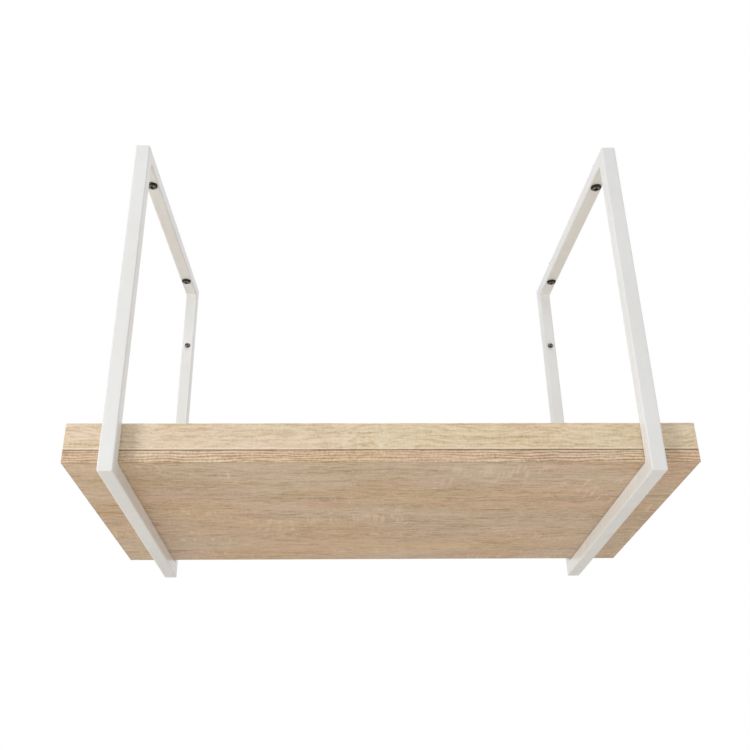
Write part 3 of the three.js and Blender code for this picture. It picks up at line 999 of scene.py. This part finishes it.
# %% Make the world and the lamps
def studio_world(level):
    world = bpy.data.worlds.new("studio")
    world.use_nodes = True
    nodes, links = world.node_tree.nodes, world.node_tree.links
    nodes.clear()
    seen, cast = nodes.new("ShaderNodeBackground"), nodes.new("ShaderNodeBackground")
    for background, strength in ((seen, 1.0), (cast, level)):
        background.inputs["Color"].default_value = (1, 1, 1, 1)
        background.inputs["Strength"].default_value = strength
    rays = nodes.new("ShaderNodeLightPath")
    share = rays.outputs["Is Camera Ray"]
    for kind in ("Is Glossy Ray", "Is Transmission Ray"):
        larger = nodes.new("ShaderNodeMath")
        larger.operation = "MAXIMUM"
        links.new(share, larger.inputs[0])
        links.new(rays.outputs[kind], larger.inputs[1])
        share = larger.outputs[0]
    mix, output = nodes.new("ShaderNodeMixShader"), nodes.new("ShaderNodeOutputWorld")
    links.new(share, mix.inputs["Fac"])
    links.new(cast.outputs[0], mix.inputs[1])
    links.new(seen.outputs[0], mix.inputs[2])
    links.new(mix.outputs[0], output.inputs["Surface"])
    bpy.context.scene.world = world


def soft_lamp(name, place, aim, size, power):
    """A square lamp of a size in metres and a power in watts, turned to face a point."""
    data = bpy.data.lights.new(name, "AREA")
    data.shape = "SQUARE"
    data.size = size
    data.energy = power
    lamp = bpy.data.objects.new(name, data)
    lamp.location = place
    back = lamp.location - type(lamp.location)(aim)
    lamp.rotation_euler = back.to_track_quat("Z", "Y").to_euler()
    lamp.visible_camera = False
    bpy.context.scene.collection.objects.link(lamp)


middle = (0.0, -0.17, 0.16)
studio_world(level=0.45)
soft_lamp("left", (-1.7, -1.6, -0.35), middle, 0.8, 20.0)
soft_lamp("right", (1.4, -1.2, -0.6), middle, 0.8, 3.0)
soft_lamp("top", (0.1, -0.5, 2.3), middle, 1.4, 28.0)
bpy.context.scene.view_settings.view_transform = "Standard"
print("lamps:", [(lamp.name, lamp.energy) for lamp in bpy.data.lights])

# %% [markdown]
# ## The floor
#
# The camera looks up, so the floor only shows from the side and from above. It is plain and pale and takes
# the perch's soft shadow. Far away it fades to the world's white, so that no horizon cuts through the
# picture.

# %% Make the floor
floor_height, floor_size, floor_lines = -0.8, 16.0, 9


def studio_floor(height, size):
    steps = np.linspace(-size / 2, size / 2, floor_lines)
    x, y = np.meshgrid(steps, steps, indexing="ij")
    points = np.stack([x, y, np.full_like(x, height)], -1).reshape(-1, 3)
    mesh = bpy.data.meshes.new("floor")
    faces = grid_faces(floor_lines, floor_lines, close_columns=False)
    mesh.from_pydata(points.tolist(), [], faces.tolist())
    floor = bpy.data.objects.new("floor", mesh)
    bpy.context.scene.collection.objects.link(floor)
    sheet = Sheet("floor")
    spot = sheet.spot
    level = sheet.stretch(spot, (1, 1, 0))
    away = sheet.node("VectorMath", {"operation": "LENGTH"}, {0: level}, output="Value")
    speckle = sheet.noise(spot, scale=90.0)
    shade = sheet.blend(speckle, colour(250, 245, 236), colour(247, 242, 233))
    matt = sheet.node("BsdfDiffuse", {}, {"Color": shade})
    white = sheet.node("Emission", {}, {"Color": (1, 1, 1, 1)})
    camera_ray = sheet.node("LightPath", {}, {}, output="Is Camera Ray")
    share = sheet.ease(away, 0.9, 3.2) * camera_ray
    sheet.node_output(sheet.node("MixShader", {}, {0: share, 1: matt, 2: white}))
    match(floor, sheet.material)


studio_floor(floor_height, floor_size)

# %% [markdown]
# ## Does it still measure the same?
#
# Looks must not change sizes. Each new piece's box is held against the box of the node that it stands for,
# and those that differ by more than a tolerance are named. Only the weld beads are named, because they reach
# a little further into the fold than the solids' thin seams.

# %% Measure and finish
box_tolerance = 0.6
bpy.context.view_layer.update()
for node, piece in pieces.items():
    places = np.array([vertex.co for vertex in piece.data.vertices])
    off = (np.array([places.min(0), places.max(0)]) - np.array(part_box(node))) / mm
    if abs(off).max() > box_tolerance:
        print(node, "differs by", np.round(off, 2).tolist())
